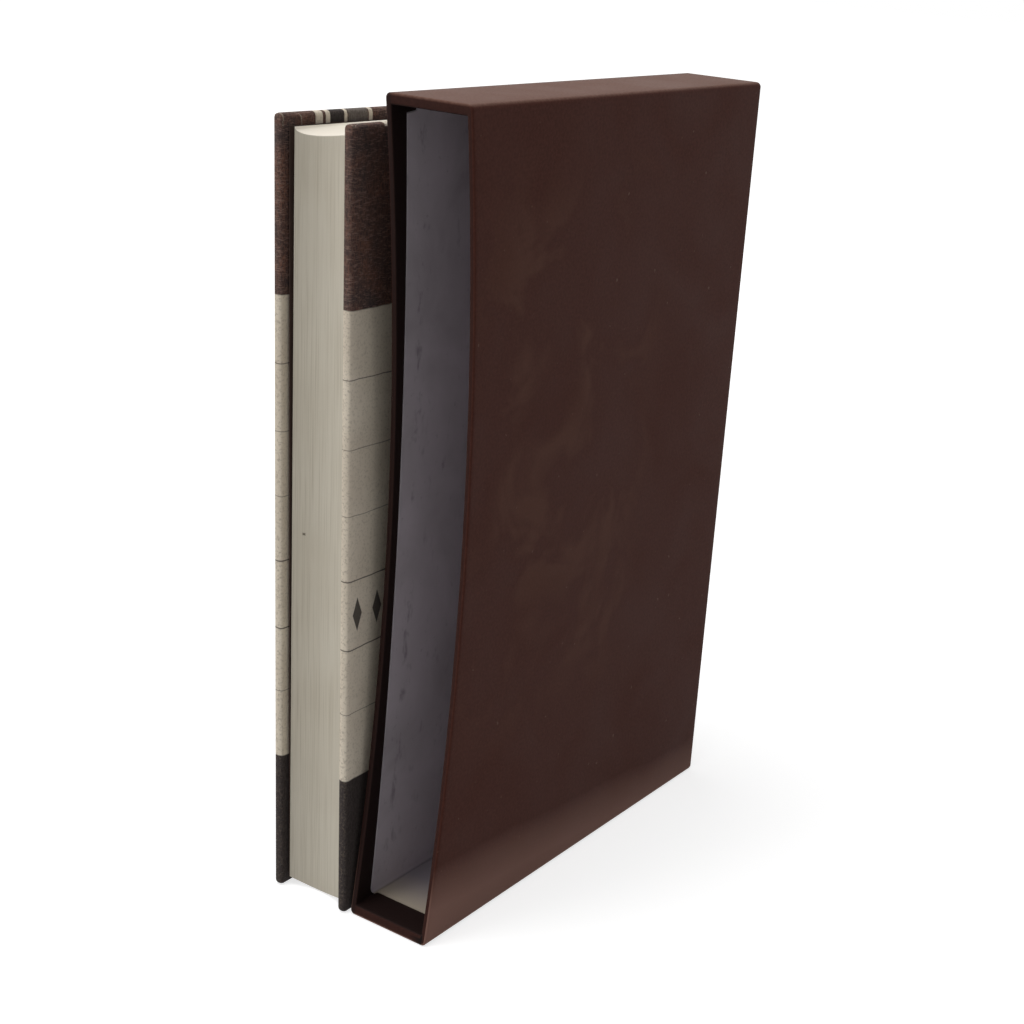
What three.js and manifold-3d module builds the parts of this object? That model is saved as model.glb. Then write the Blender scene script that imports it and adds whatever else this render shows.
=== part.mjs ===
// A casebound hardback book standing beside its own slipcase.
// Millimetres, +Z up. The slipcase's mouth and the book's fore edge face -Y.
// The origin is the centre of the slipcase's bottom face.

import * as THREE from "three";
import { mergeVertices } from "three/addons/utils/BufferGeometryUtils.js";
import Module from "manifold-3d";

const wasm = await Module();
wasm.setup();

// Boards of the book, wrapped in the printed covering
const BOARD_THICKNESS = 3.2;
const BOARD_HEIGHT = 240;
const BOARD_LENGTH = 143;
const BOARD_EDGE_RADIUS = 1.2;

// Text block: the pages as one solid, rounded at the back and hollow at the fore edge
const BLOCK_THICKNESS = 16.4;
const FORE_SQUARE = 2.6;
const FORE_HOLLOW = 2.6;
const FOOT_SQUARE = 2.6;
const HEAD_SQUARE = 3.4;
const SHOULDER_GAP = 1.3;
const BACK_ROUND = 3.8;
const BLOCK_SAG = 1.9;
const SAG_REACH = 60;

// Endpapers: one leaf pasted to each board, one free leaf on each side of the block
const ENDPAPER_THICKNESS = 0.25;
const PASTE_GAP = 0.1;
const LEAF_GAP = 0.3;
const PASTEDOWN_MARGIN = 3.5;
const FLYLEAF_SHORT = 1;

// Joints: covering cloth that dips into a groove between each board and the spine
const JOINT_THICKNESS = 0.8;
const GROOVE_WIDTH = 6.5;
const GROOVE_DEPTH = 2.9;
const BOARD_LIP_INSET = 1.0;
const HINGE_INSET = 1.7;
const SEAM_GAP = 0.3;

// Case spine: covering over a stiff strip, rounded over the back of the block
const SPINE_THICKNESS = 1.0;
const SPINE_RISE = 4.2;

// Cloth and paper glued over the sewn back, and the two bands at its ends
const BACK_LINING_THICKNESS = 0.5;
const BACK_LINING_MARGIN = 6;
const BAND_RADIUS = 1.1;
const BAND_INSET = 1;

// White paper lining pasted inside the slipcase, stopping short of the mouth
const LINING_THICKNESS = 0.3;
const LINING_PASTE_GAP = 0.05;
const LINING_SETBACK = 6.8;
const LINING_SAGITTA = 5.3;
const LINING_FLOOR_SETBACK = 10.5;

// Slipcase: board folded round the book, doubled at head and foot, covered in brown paper
const SIDE_WALL = 1.9;
const BACK_WALL = 2.2;
const END_WALL = 3.2;
const SLIDE_CLEARANCE = 0.1;
const HEIGHT_CLEARANCE = 2.9;
const DEPTH_CLEARANCE = 0.95;
const MOUTH_SAGITTA = 9.2;
const MOUTH_STEPS = 24;
const CASE_EDGE_RADIUS = 1.6;
const CASE_EDGE_STEPS = 4;

// How the standing book rests: turned a little, its fore edge open and leaning off the slipcase
const STAND_GAP = 0.7;
const STAND_FORWARD = 1.6;
const STAND_TURN = THREE.MathUtils.degToRad(1.14);
const FORE_SPLAY = 2.0;
const FORE_LEAN = Math.tan(THREE.MathUtils.degToRad(2.1));

// How finely the surfaces are divided, along X, Y and Z
const BOARD_STEPS = [4, 12, 14];
const BLOCK_STEPS = [12, 12, 10];
const SHEET_STEPS = [1, 9, 9];
const STRIP_HEIGHT_STEPS = 6;
const SPINE_STEPS = 20;
const JOINT_STEPS = 8;
const BACK_STEPS = 12;
const BAND_SIDES = 8;
const BAND_STEPS = 8;
const LEAST_FLAT = 0.02;

// Worked out from the sizes above: the closed book
const LEAF_STACK = 2 * (PASTE_GAP + ENDPAPER_THICKNESS) + LEAF_GAP;
const HALF_BLOCK = BLOCK_THICKNESS / 2;
const HALF_INSIDE = HALF_BLOCK + LEAF_STACK;
const HALF_BOOK = HALF_INSIDE + BOARD_THICKNESS;
const HINGE_X = HALF_BOOK - HINGE_INSET;
const HINGE_Y = BOARD_LENGTH + GROOVE_WIDTH;
const SHOULDER_Y = HINGE_Y - SHOULDER_GAP;
const BLOCK_TOP = BOARD_HEIGHT - HEAD_SQUARE;
const BOOK_DEPTH = HINGE_Y + SEAM_GAP + SPINE_RISE + SPINE_THICKNESS / 2;

// Worked out from the sizes above: the slipcase that takes the closed book
const LINING_DEPTH = LINING_THICKNESS + LINING_PASTE_GAP;
const CASE_THICKNESS = 2 * (HALF_BOOK + SLIDE_CLEARANCE + LINING_DEPTH + SIDE_WALL);
const CASE_DEPTH = BOOK_DEPTH + DEPTH_CLEARANCE + LINING_DEPTH + BACK_WALL;
const CASE_HEIGHT = BOARD_HEIGHT + HEIGHT_CLEARANCE + 2 * (LINING_DEPTH + END_WALL);

const brownPaper = new THREE.MeshStandardMaterial({ color: 0x3d2722, roughness: 0.5 });
const whitePaper = new THREE.MeshStandardMaterial({ color: 0xdcdbdf, roughness: 0.85 });
const printedCovering = new THREE.MeshStandardMaterial({ color: 0xa9a08c, roughness: 0.75 });
const pages = new THREE.MeshStandardMaterial({ color: 0xd8d0b8, roughness: 0.9 });
const endpaper = new THREE.MeshStandardMaterial({ color: 0x5f5650, roughness: 0.85 });
const backCloth = new THREE.MeshStandardMaterial({ color: 0xcfc6ae, roughness: 0.95 });
const bandSilk = new THREE.MeshStandardMaterial({ color: 0x6b4a35, roughness: 0.6 });

// A geometry with only merged positions, which is what a closed solid needs
function closed(geometry) {
  geometry.deleteAttribute("normal");
  geometry.deleteAttribute("uv");
  return mergeVertices(geometry, 1e-5);
}

function toSolid(geometry) {
  const merged = closed(geometry);
  return new wasm.Manifold(
    new wasm.Mesh({
      numProp: 3,
      vertProperties: new Float32Array(merged.attributes.position.array),
      triVerts: new Uint32Array(merged.index.array),
    }),
  );
}

function fromSolid(solid) {
  const mesh = solid.getMesh();
  const geometry = new THREE.BufferGeometry();
  geometry.setAttribute("position", new THREE.BufferAttribute(mesh.vertProperties, 3));
  geometry.setIndex(new THREE.BufferAttribute(mesh.triVerts, 1));
  return geometry;
}

// A box grid whose every vertex is moved by place(a, b, c), with a, b and c from 0 to 1
function gridSolid(aSteps, bSteps, cSteps, place) {
  const geometry = closed(new THREE.BoxGeometry(1, 1, 1, aSteps, bSteps, cSteps));
  const position = geometry.attributes.position;
  for (let i = 0; i < position.count; i++) {
    const point = place(position.getX(i) + 0.5, position.getY(i) + 0.5, position.getZ(i) + 0.5);
    position.setXYZ(i, ...point);
  }
  return geometry;
}

// The book stands square at its hinges. Towards the fore edge its leaves and boards spread apart,
// and lean to -X in step with their height.
function stand(x, y, z) {
  const share = THREE.MathUtils.clamp(1 - y / HINGE_Y, 0, 1);
  const side = THREE.MathUtils.clamp(x / HALF_BLOCK, -1, 1);
  return [x + (FORE_SPLAY * side - FORE_LEAN * z) * share, y, z];
}

// Spreads a share 0..1 over a length so that the first and last steps span the edge radius
function edged(share, steps, length, radius) {
  const step = Math.round(share * steps);
  if (step <= 1) return step * radius;
  if (step >= steps - 1) return length - (steps - step) * radius;
  return radius + ((step - 1) / (steps - 2)) * (length - 2 * radius);
}

// A slab with rounded edges, from corner low and of the given size, as it stands in the book
function coveredBoard(low, size, radius) {
  const roundRadius = Math.min(radius, (size[0] - LEAST_FLAT) / 2);
  return gridSolid(...BOARD_STEPS, (...shares) => {
    const point = shares.map((share, k) => edged(share, BOARD_STEPS[k], size[k], roundRadius));
    const core = point.map((value, k) => THREE.MathUtils.clamp(value, roundRadius, size[k] - roundRadius));
    const out = new THREE.Vector3(...point.map((value, k) => value - core[k]));
    if (out.lengthSq() > 0) out.setLength(roundRadius);
    return stand(low[0] + core[0] + out.x, low[1] + core[1] + out.y, low[2] + core[2] + out.z);
  });
}

// A sheet, thin in X, as it stands in the book
function sheet(low, size) {
  return gridSolid(...SHEET_STEPS, (a, b, c) =>
    stand(low[0] + a * size[0], low[1] + b * size[1], low[2] + c * size[2]),
  );
}

// Distance by which the back of the block stands out behind its shoulders at x
function backRise(x, half, rise) {
  return rise * (1 - (x / half) ** 2);
}

function roundedRectangle(width, height, radius, steps) {
  const shape = new THREE.Shape();
  const corners = [
    [width - radius, height - radius, 0],
    [radius, height - radius, 1],
    [radius, radius, 2],
    [width - radius, radius, 3],
  ];
  corners.forEach(([x, y, quarter], k) => {
    for (let i = 0; i <= steps; i++) {
      const angle = ((quarter + i / steps) * Math.PI) / 2;
      const px = x + radius * Math.cos(angle);
      const py = y + radius * Math.sin(angle);
      if (k === 0 && i === 0) shape.moveTo(px, py);
      else shape.lineTo(px, py);
    }
  });
  shape.closePath();
  return shape;
}

// How far an edge of the given sagitta is cut back at height z: a circular arc from foot to head
function arcCut(z, sagitta) {
  const halfChord = CASE_HEIGHT / 2;
  const radius = (halfChord ** 2 + sagitta ** 2) / (2 * sagitta);
  return Math.sqrt(radius ** 2 - (z - halfChord) ** 2) - (radius - sagitta);
}

// Side view in Y and Z: an arced edge near the mouth, and back corners rounded
function sideView(setback, sagitta, backY, radius) {
  const shape = new THREE.Shape();
  for (let i = 0; i <= MOUTH_STEPS; i++) {
    const z = (CASE_HEIGHT * i) / MOUTH_STEPS;
    const y = -CASE_DEPTH / 2 + setback + arcCut(z, sagitta);
    if (i === 0) shape.moveTo(y, z);
    else shape.lineTo(y, z);
  }
  for (const [centreZ, start] of [[CASE_HEIGHT - radius, 1], [radius, 0]]) {
    for (let i = 0; i <= CASE_EDGE_STEPS; i++) {
      const angle = ((start - i / CASE_EDGE_STEPS) * Math.PI) / 2;
      shape.lineTo(backY - radius + radius * Math.cos(angle), centreZ + radius * Math.sin(angle));
    }
  }
  shape.closePath();
  return shape;
}

// Extrudes a Y-Z outline along X, centred on x = 0
function alongX(shape, width) {
  const geometry = new THREE.ExtrudeGeometry(shape, { depth: width, bevelEnabled: false });
  geometry.translate(0, 0, -width / 2);
  geometry.applyMatrix4(
    new THREE.Matrix4().makeBasis(
      new THREE.Vector3(0, 1, 0),
      new THREE.Vector3(0, 0, 1),
      new THREE.Vector3(1, 0, 0),
    ),
  );
  return toSolid(geometry);
}

// Extrudes an X-Z outline along Y, from startY
function alongY(shape, length, startX, startY) {
  const geometry = new THREE.ExtrudeGeometry(shape, { depth: length, bevelEnabled: false });
  geometry.rotateX(Math.PI / 2);
  geometry.translate(startX, startY + length, 0);
  return toSolid(geometry);
}

// Extrudes an X-Y outline along Z
function alongZ(shape, height, startX, startY) {
  const geometry = new THREE.ExtrudeGeometry(shape, { depth: height, bevelEnabled: false });
  geometry.translate(startX, startY, 0);
  return toSolid(geometry);
}

function box(low, high) {
  const geometry = new THREE.BoxGeometry(high[0] - low[0], high[1] - low[1], high[2] - low[2]);
  geometry.translate((high[0] + low[0]) / 2, (high[1] + low[1]) / 2, (high[2] + low[2]) / 2);
  return toSolid(geometry);
}

// Slipcase shell: three outlines meet in one body with rounded edges, then the hollow is cut
function slipcaseShell() {
  const halfDepth = CASE_DEPTH / 2;
  const side = alongX(
    sideView(0, MOUTH_SAGITTA, halfDepth, CASE_EDGE_RADIUS),
    CASE_THICKNESS,
  );
  const mouthView = alongY(
    roundedRectangle(CASE_THICKNESS, CASE_HEIGHT, CASE_EDGE_RADIUS, CASE_EDGE_STEPS),
    CASE_DEPTH,
    -CASE_THICKNESS / 2,
    -halfDepth,
  );
  const plan = alongZ(
    roundedRectangle(CASE_THICKNESS, CASE_DEPTH + CASE_EDGE_RADIUS, CASE_EDGE_RADIUS, CASE_EDGE_STEPS),
    CASE_HEIGHT,
    -CASE_THICKNESS / 2,
    -halfDepth - CASE_EDGE_RADIUS,
  );
  const hollow = box(
    [-CASE_THICKNESS / 2 + SIDE_WALL, -CASE_DEPTH, END_WALL],
    [CASE_THICKNESS / 2 - SIDE_WALL, halfDepth - BACK_WALL, CASE_HEIGHT - END_WALL],
  );
  return fromSolid(side.intersect(mouthView).intersect(plan).subtract(hollow));
}

// Lining: an open box of paper whose side walls have an arced front edge of their own
function slipcaseLining() {
  const halfDepth = CASE_DEPTH / 2;
  const outerHalfWidth = CASE_THICKNESS / 2 - SIDE_WALL - LINING_PASTE_GAP;
  const outerBack = halfDepth - BACK_WALL - LINING_PASTE_GAP;
  const outerBottom = END_WALL + LINING_PASTE_GAP;
  const outerTop = CASE_HEIGHT - outerBottom;
  const block = alongX(
    sideView(LINING_SETBACK, LINING_SAGITTA, outerBack, LINING_THICKNESS),
    2 * outerHalfWidth,
  ).intersect(
    box(
      [-outerHalfWidth, -halfDepth, outerBottom],
      [outerHalfWidth, outerBack, outerTop],
    ),
  );
  const hollow = box(
    [-outerHalfWidth + LINING_THICKNESS, -CASE_DEPTH, outerBottom + LINING_THICKNESS],
    [outerHalfWidth - LINING_THICKNESS, outerBack - LINING_THICKNESS, outerTop - LINING_THICKNESS],
  );
  const floorStart = -halfDepth + LINING_FLOOR_SETBACK;
  const floorTrim = box(
    [-outerHalfWidth + LINING_THICKNESS, -CASE_DEPTH, 0],
    [outerHalfWidth - LINING_THICKNESS, floorStart, CASE_HEIGHT],
  );
  return fromSolid(block.subtract(hollow).subtract(floorTrim));
}

// Text block: hollow fore edge, rounded back, and leaves that sag a little towards the fore edge
function textBlock() {
  return gridSolid(...BLOCK_STEPS, (a, b, c) => {
    const x = (a - 0.5) * BLOCK_THICKNESS;
    const front = FORE_SQUARE + backRise(x, HALF_BLOCK, FORE_HOLLOW);
    const back = SHOULDER_Y + backRise(x, HALF_BLOCK, BACK_ROUND);
    const y = front + (back - front) * b;
    const sagShare = THREE.MathUtils.clamp(1 - (y - front) / SAG_REACH, 0, 1);
    const sag = BLOCK_SAG * Math.sin(Math.PI * Math.sqrt(a)) * sagShare ** 2;
    const z = FOOT_SQUARE - sag + (BLOCK_TOP - FOOT_SQUARE) * c;
    return stand(x, y, z);
  });
}

// A curved strip in plan: line(s) gives [x, y] of its middle, laid out across its width
function strip(line, thickness, steps, lowZ, highZ) {
  return gridSolid(steps, 1, STRIP_HEIGHT_STEPS, (a, b, c) => {
    const [x, y] = line(a);
    const [x0, y0] = line(Math.max(0, a - 0.5 / steps));
    const [x1, y1] = line(Math.min(1, a + 0.5 / steps));
    const length = Math.hypot(x1 - x0, y1 - y0);
    const offset = (b - 0.5) * thickness;
    return stand(
      x - ((y1 - y0) / length) * offset,
      y + ((x1 - x0) / length) * offset,
      lowZ + (highZ - lowZ) * c,
    );
  });
}

// Middle line of the case spine in plan, from hinge to hinge over the back
function spineLine(share) {
  const x = (share - 0.5) * 2 * HINGE_X;
  return [x, HINGE_Y + SEAM_GAP + backRise(x, HINGE_X, SPINE_RISE)];
}

// Middle line of the joint cloth in plan, from the hinge down into the groove and up to the board
function jointLine(sign) {
  const lipX = HALF_BOOK - BOARD_LIP_INSET;
  const lipY = BOARD_LENGTH + SEAM_GAP + JOINT_THICKNESS / 2;
  const grooveX = HALF_BOOK - GROOVE_DEPTH;
  const curve = new THREE.QuadraticBezierCurve(
    new THREE.Vector2(lipX, lipY),
    new THREE.Vector2(2 * grooveX - (lipX + HINGE_X) / 2, (lipY + HINGE_Y) / 2),
    new THREE.Vector2(HINGE_X, HINGE_Y - SEAM_GAP - JOINT_THICKNESS / 2),
  );
  return (share) => {
    const point = curve.getPoint(THREE.MathUtils.clamp(sign < 0 ? share : 1 - share, 0, 1));
    return [sign * point.x, point.y];
  };
}

// Middle line of a layer laid on the rounded back of the block, offset outwards
function backLine(halfWidth, offset) {
  return (share) => {
    const x = (share - 0.5) * 2 * halfWidth;
    return [x, SHOULDER_Y + backRise(x, HALF_BLOCK, BACK_ROUND) + offset];
  };
}

// A round cord along the back of the block, cut square at its ends
function endBand(atZ) {
  const line = backLine(HALF_BLOCK - BAND_INSET, -BAND_RADIUS);
  const points = [];
  for (let i = 0; i <= BAND_STEPS; i++) {
    const [x, y] = line(i / BAND_STEPS);
    points.push(new THREE.Vector3(x, y, atZ));
  }
  const section = new THREE.Shape();
  for (let i = 0; i < BAND_SIDES; i++) {
    const angle = (2 * Math.PI * i) / BAND_SIDES;
    const x = BAND_RADIUS * Math.cos(angle);
    const y = BAND_RADIUS * Math.sin(angle);
    if (i === 0) section.moveTo(x, y);
    else section.lineTo(x, y);
  }
  section.closePath();
  return closed(
    new THREE.ExtrudeGeometry(section, {
      steps: BAND_STEPS,
      bevelEnabled: false,
      extrudePath: new THREE.CatmullRomCurve3(points),
    }),
  );
}

function named(name, geometry, material) {
  const mesh = new THREE.Mesh(geometry, material);
  mesh.name = name;
  return mesh;
}

const slipcase = new THREE.Group();
slipcase.add(named("slipcase_shell", slipcaseShell(), brownPaper));
slipcase.add(named("slipcase_lining", slipcaseLining(), whitePaper));

const book = new THREE.Group();

// Each side has a covered board, its joint cloth, the leaf pasted to it and a free leaf by the pages
for (const [side, sign] of [["front", -1], ["back", 1]]) {
  const boardX = sign < 0 ? -HALF_BOOK : HALF_INSIDE;
  const pastedownX = sign * (HALF_INSIDE - PASTE_GAP - ENDPAPER_THICKNESS / 2) - ENDPAPER_THICKNESS / 2;
  const flyleafX = sign * (HALF_BLOCK + PASTE_GAP + ENDPAPER_THICKNESS / 2) - ENDPAPER_THICKNESS / 2;
  const paperHeight = BOARD_HEIGHT - 2 * PASTEDOWN_MARGIN;
  book.add(
    named(
      `${side}_board`,
      coveredBoard(
        [boardX, 0, 0],
        [BOARD_THICKNESS, BOARD_LENGTH, BOARD_HEIGHT],
        BOARD_EDGE_RADIUS,
      ),
      printedCovering,
    ),
    named(
      `${side}_joint`,
      strip(jointLine(sign), JOINT_THICKNESS, JOINT_STEPS, 0, BOARD_HEIGHT),
      printedCovering,
    ),
    named(
      `${side}_pastedown`,
      sheet(
        [pastedownX, PASTEDOWN_MARGIN, PASTEDOWN_MARGIN],
        [ENDPAPER_THICKNESS, BOARD_LENGTH - PASTEDOWN_MARGIN, paperHeight],
      ),
      endpaper,
    ),
    named(
      `${side}_flyleaf`,
      sheet(
        [flyleafX, FORE_SQUARE, FOOT_SQUARE],
        [ENDPAPER_THICKNESS, SHOULDER_Y - FLYLEAF_SHORT - FORE_SQUARE, BLOCK_TOP - FOOT_SQUARE],
      ),
      endpaper,
    ),
  );
}

book.add(
  named("page_block", textBlock(), pages),
  named(
    "spine_cover",
    strip(spineLine, SPINE_THICKNESS, SPINE_STEPS, 0, BOARD_HEIGHT),
    printedCovering,
  ),
  named(
    "spine_lining",
    strip(
      backLine(HALF_BLOCK - BAND_INSET, LEAF_GAP + BACK_LINING_THICKNESS / 2),
      BACK_LINING_THICKNESS,
      BACK_STEPS,
      FOOT_SQUARE + BACK_LINING_MARGIN,
      BLOCK_TOP - BACK_LINING_MARGIN,
    ),
    backCloth,
  ),
  named("head_band", endBand(BLOCK_TOP + LEAF_GAP + BAND_RADIUS), bandSilk),
  named("tail_band", endBand(FOOT_SQUARE - LEAF_GAP - BAND_RADIUS), bandSilk),
);

// The book stands with its back board beside the slipcase, turned about that board's front corner
const frontCorner = new THREE.Vector3(
  -CASE_THICKNESS / 2 - STAND_GAP,
  -CASE_DEPTH / 2 - STAND_FORWARD,
  0,
);
const cornerInBook = new THREE.Vector3(HALF_BOOK + FORE_SPLAY, 0, 0);
book.rotation.z = STAND_TURN;
book.position.copy(frontCorner).sub(cornerInBook.applyAxisAngle(new THREE.Vector3(0, 0, 1), STAND_TURN));

const slipcasedBook = new THREE.Group();
slipcasedBook.add(slipcase, book);

export default slipcasedBook;
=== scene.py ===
# A casebound hardback book standing beside its own slipcase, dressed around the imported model.

import bpy
import numpy as np
from mathutils import Matrix, Vector


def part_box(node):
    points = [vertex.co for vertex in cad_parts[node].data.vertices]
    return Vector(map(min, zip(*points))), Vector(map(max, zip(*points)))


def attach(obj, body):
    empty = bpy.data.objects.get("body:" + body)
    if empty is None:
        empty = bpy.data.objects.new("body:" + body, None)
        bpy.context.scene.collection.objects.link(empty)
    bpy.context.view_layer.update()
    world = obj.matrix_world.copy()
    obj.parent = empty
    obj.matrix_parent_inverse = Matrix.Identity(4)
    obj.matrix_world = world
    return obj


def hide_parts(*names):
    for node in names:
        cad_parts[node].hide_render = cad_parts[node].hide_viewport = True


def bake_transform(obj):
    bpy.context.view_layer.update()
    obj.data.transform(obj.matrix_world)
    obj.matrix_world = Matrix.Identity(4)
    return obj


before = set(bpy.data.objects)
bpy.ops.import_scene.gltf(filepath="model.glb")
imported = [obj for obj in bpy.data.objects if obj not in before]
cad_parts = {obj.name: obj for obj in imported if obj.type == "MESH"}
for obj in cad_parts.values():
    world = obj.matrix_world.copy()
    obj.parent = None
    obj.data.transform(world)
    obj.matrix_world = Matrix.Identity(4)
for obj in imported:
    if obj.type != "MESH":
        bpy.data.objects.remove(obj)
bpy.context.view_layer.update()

# Camera: stands in front and to the right of the slipcase's mouth, a little above its top, turned
# down and to its left. Its place was fitted to the corners seen in the photo.
MM = 0.001
CAMERA_PLACE = np.array([298.9, -458.2, 301.8]) * MM
CAMERA_AZIMUTH, CAMERA_ELEVATION, CAMERA_ROLL = np.radians([33.17, 17.17, 4.36])
FOCAL_PIXELS = 1804
IMAGE_SIDE = 1024
SENSOR_WIDTH = 36.0
LENS_SHIFT = (-0.05, -0.05)
CLIP_NEAR, CLIP_FAR = 0.01, 20

camera = bpy.data.objects.new("camera", bpy.data.cameras.new("camera"))
bpy.context.collection.objects.link(camera)
bpy.context.scene.camera = camera
camera.data.sensor_width = SENSOR_WIDTH
camera.data.lens = FOCAL_PIXELS / IMAGE_SIDE * SENSOR_WIDTH
camera.data.shift_x, camera.data.shift_y = LENS_SHIFT
camera.data.clip_start, camera.data.clip_end = CLIP_NEAR, CLIP_FAR
looking_back = np.array([
    np.sin(CAMERA_AZIMUTH) * np.cos(CAMERA_ELEVATION),
    -np.cos(CAMERA_AZIMUTH) * np.cos(CAMERA_ELEVATION),
    np.sin(CAMERA_ELEVATION),
])
level_right = np.cross(-looking_back, [0, 0, 1])
level_right /= np.linalg.norm(level_right)
level_up = np.cross(level_right, -looking_back)
right = np.cos(CAMERA_ROLL) * level_right + np.sin(CAMERA_ROLL) * level_up
up = np.cos(CAMERA_ROLL) * level_up - np.sin(CAMERA_ROLL) * level_right
placed = np.eye(4)
placed[:3, :3] = np.column_stack([right, up, looking_back])
placed[:3, 3] = CAMERA_PLACE
camera.matrix_world = Matrix(placed)
bpy.context.scene.view_settings.view_transform = "Standard"

# Studio: a pale floor that the camera sees as white, with the object's shadow on it, and a dim
# world that it sees as plain white. A soft lamp overhead lights the tops most. A weaker one
# stands to the left of the fore edge, and the broad side of the slipcase has the weakest.
STUDIO_LAMPS = {
    "overhead_lamp": dict(place=(-0.25, -0.25, 1.6), side=0.9, watts=17.0),
    "fore_edge_lamp": dict(place=(-0.8, -1.3, 0.6), side=0.8, watts=8.5),
    "side_lamp": dict(place=(1.5, 0.1, 0.5), side=0.7, watts=3.0),
}
LAMP_TARGET = (0.0, 0.0, 0.12)
WORLD_LEVEL = 0.22
FLOOR_PALE = 0.55
FLOOR_SEEN_GLOW = 0.72
FLOOR_SEEN_PALE = 0.5
SHADOW_REACH = (0.35, 1.0)
FLOOR_HALF = 6.0
FLOOR_DROP = 0.0002


def nodes_of(holder, output_kind="ShaderNodeOutputMaterial"):
    """Empties a material or world and gives its node list, its links and its output node."""
    holder.use_nodes = True
    tree = holder.node_tree
    tree.nodes.clear()
    return tree.nodes, tree.links, tree.nodes.new(output_kind)


def show_to_camera(nodes, links, out, lit, seen):
    """Sends the lit shader to the output, and to the camera, in gloss and through glass, the seen
    one in its place."""
    path = nodes.new("ShaderNodeLightPath")
    share = path.outputs["Is Camera Ray"]
    for ray in ("Is Glossy Ray", "Is Transmission Ray"):
        either = nodes.new("ShaderNodeMath")
        either.operation = "MAXIMUM"
        links.new(share, either.inputs[0])
        links.new(path.outputs[ray], either.inputs[1])
        share = either.outputs[0]
    choose = nodes.new("ShaderNodeMixShader")
    links.new(share, choose.inputs[0])
    links.new(lit.outputs[0], choose.inputs[1])
    links.new(seen.outputs[0], choose.inputs[2])
    links.new(choose.outputs[0], out.inputs[0])


def flat_shader(nodes, kind, pale, strength=None):
    """A node of one grey: a diffuse surface, a glow or a background."""
    node = nodes.new(kind)
    node.inputs["Color"].default_value = (pale, pale, pale, 1)
    if strength is not None:
        node.inputs["Strength"].default_value = strength
    return node


world = bpy.data.worlds.new("studio")
bpy.context.scene.world = world
nodes, links, out = nodes_of(world, "ShaderNodeOutputWorld")
show_to_camera(nodes, links, out, flat_shader(nodes, "ShaderNodeBackground", 1, WORLD_LEVEL),
               flat_shader(nodes, "ShaderNodeBackground", 1, 1))

for name, lamp in STUDIO_LAMPS.items():
    light = bpy.data.objects.new(name, bpy.data.lights.new(name, "AREA"))
    bpy.context.collection.objects.link(light)
    light.data.size = lamp["side"]
    light.data.energy = lamp["watts"]
    light.location = lamp["place"]
    light.rotation_mode = "QUATERNION"
    light.rotation_quaternion = (Vector(LAMP_TARGET) - light.location).to_track_quat("-Z", "Y")

floor = bpy.data.objects.new("floor", bpy.data.meshes.new("floor"))
bpy.context.collection.objects.link(floor)
floor_corners = [(x * FLOOR_HALF, y * FLOOR_HALF, -FLOOR_DROP)
                 for x, y in ((-1, -1), (1, -1), (1, 1), (-1, 1))]
floor.data.from_pydata(floor_corners, [], [(0, 1, 2, 3)])
floor_paper = bpy.data.materials.new("floor_paper")
nodes, links, out = nodes_of(floor_paper)
seen_floor = nodes.new("ShaderNodeAddShader")
glow = flat_shader(nodes, "ShaderNodeEmission", 1)
away = nodes.new("ShaderNodeVectorMath")
away.operation = "LENGTH"
links.new(nodes.new("ShaderNodeTexCoord").outputs["Object"], away.inputs[0])
fade = nodes.new("ShaderNodeMapRange")
links.new(away.outputs["Value"], fade.inputs["Value"])
fade.inputs["From Min"].default_value, fade.inputs["From Max"].default_value = SHADOW_REACH
fade.inputs["To Min"].default_value, fade.inputs["To Max"].default_value = FLOOR_SEEN_GLOW, 1
links.new(fade.outputs[0], glow.inputs["Strength"])
links.new(flat_shader(nodes, "ShaderNodeBsdfDiffuse", FLOOR_SEEN_PALE).outputs[0], seen_floor.inputs[0])
links.new(glow.outputs[0], seen_floor.inputs[1])
show_to_camera(nodes, links, out, flat_shader(nodes, "ShaderNodeBsdfDiffuse", FLOOR_PALE), seen_floor)
floor.data.materials.append(floor_paper)

# Slipcase shell: grey board folded into a box that is open in front, with dark brown paper drawn
# over it, round the rims of the mouth and a little way inside. Its two broad walls are cut back
# in an arc, so that the book can be gripped.
CASE_LOW, CASE_HIGH = (np.array(corner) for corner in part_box("slipcase_shell"))
LINING_LOW, LINING_HIGH = (np.array(corner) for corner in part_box("slipcase_lining"))
LINING_PASTE = 0.05 * MM
MOUTH_SAGITTA = 9.2 * MM
CASE_ROUND = 1.6 * MM
RIM_ROUND = 0.55 * MM
BACK_WALL = 2.2 * MM
INNER_ROUND = 0.4 * MM
LEAST_ROUND = 0.1 * MM
BACK_FLAT_INSET = 1.0 * MM
WALL_BOW = 0.25 * MM
HAIR = 0.01 * MM
CASE_HEIGHT_STEPS = 52
CASE_WIDTH_STEPS = 6
CORNER_FROM = 0.965
CORNER_RUN_STEPS = 9
CORNER_STEPS = 5

# Where the rings lie between the back and the mouth, outside and inside, as shares of the way. The
# last ones at each end lie close together, so that the light breaks only at the round edges.
OUTER_SHARES = [0.006, *np.linspace(0.03, 0.97, 30), 0.994]
INNER_SHARES = [0.01, *np.linspace(0.04, 0.96, 12), 1]

# The turned-in paper is creased beside the right wall, at the foot of the mouth; the crease is
# drawn as a line of painted shade.
CREASE_FROM_WALL = 0.25 * MM
CREASE_HALF_WIDTH = 0.3 * MM
CREASE_HIGH = 7 * MM
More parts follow.
